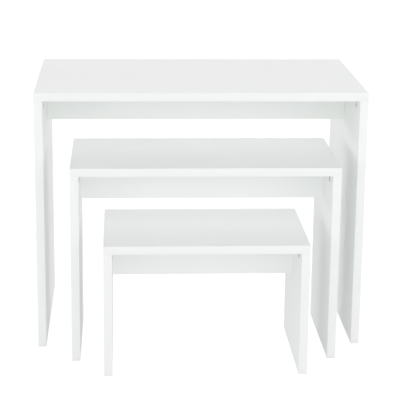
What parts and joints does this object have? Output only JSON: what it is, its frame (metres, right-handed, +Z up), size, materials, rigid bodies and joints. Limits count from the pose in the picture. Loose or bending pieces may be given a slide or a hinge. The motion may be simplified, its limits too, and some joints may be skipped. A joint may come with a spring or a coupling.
{
  "type": "nesting tables",
  "caption": "Set of plain white panel tables that nest one inside the next, each a top board on two full-depth side boards with a cross rail under the top.",
  "frame": {"origin": "on the floor, in the middle of the footprint of the set as it stands in the picture, with the middle table 123 mm and the small table 246 mm in front of the large one", "axes": "+X to the right of someone facing the set's front, which is also along the tabletops' length, +Y from front to back, +Z up"},
  "size_m": [1, 0.846, 0.8],
  "materials": {
    "melamine": "white melamine-faced board, satin, fine pore texture",
    "zinc": "die-cast zinc, satin",
    "steel": "bright zinc-plated steel",
    "beech": "raw beech",
    "glide": "off-white moulded plastic"
  },
  "bodies": {
    "large": {"large_top": "melamine", "large_side_left": "melamine", "large_side_right": "melamine", "large_rail": "melamine", "large_cam_front_left": "zinc", "large_bolt_front_left": "steel", "large_cam_rear_left": "zinc", "large_bolt_rear_left": "steel", "large_rail_connector_left": "zinc", "large_rail_dowel_left": "beech", "large_cam_front_right": "zinc", "large_bolt_front_right": "steel", "large_cam_rear_right": "zinc", "large_bolt_rear_right": "steel", "large_rail_connector_right": "zinc", "large_rail_dowel_right": "beech", "large_glide_front_left": "glide", "large_glide_rear_left": "glide", "large_glide_front_right": "glide", "large_glide_rear_right": "glide"},
    "middle": {"middle_top": "melamine", "middle_side_left": "melamine", "middle_side_right": "melamine", "middle_rail": "melamine", "middle_cam_front_left": "zinc", "middle_bolt_front_left": "steel", "middle_cam_rear_left": "zinc", "middle_bolt_rear_left": "steel", "middle_rail_connector_left": "zinc", "middle_rail_dowel_left": "beech", "middle_cam_front_right": "zinc", "middle_bolt_front_right": "steel", "middle_cam_rear_right": "zinc", "middle_bolt_rear_right": "steel", "middle_rail_connector_right": "zinc", "middle_rail_dowel_right": "beech", "middle_glide_front_left": "glide", "middle_glide_rear_left": "glide", "middle_glide_front_right": "glide", "middle_glide_rear_right": "glide"},
    "small": {"small_top": "melamine", "small_side_left": "melamine", "small_side_right": "melamine", "small_rail": "melamine", "small_cam_front_left": "zinc", "small_bolt_front_left": "steel", "small_cam_rear_left": "zinc", "small_bolt_rear_left": "steel", "small_rail_connector_left": "zinc", "small_rail_dowel_left": "beech", "small_cam_front_right": "zinc", "small_bolt_front_right": "steel", "small_cam_rear_right": "zinc", "small_bolt_rear_right": "steel", "small_rail_connector_right": "zinc", "small_rail_dowel_right": "beech", "small_glide_front_left": "glide", "small_glide_rear_left": "glide", "small_glide_front_right": "glide", "small_glide_rear_right": "glide"}
  },
  "joints": [
    {"name": "middle_slide", "type": "slide", "parent": "large", "child": "middle", "axis": [0, -1, 0], "range_m": [-0.32, 0.3]},
    {"name": "small_slide", "type": "slide", "parent": "large", "child": "small", "axis": [0, -1, 0], "range_m": [-0.44, 0.6]}
  ]
}
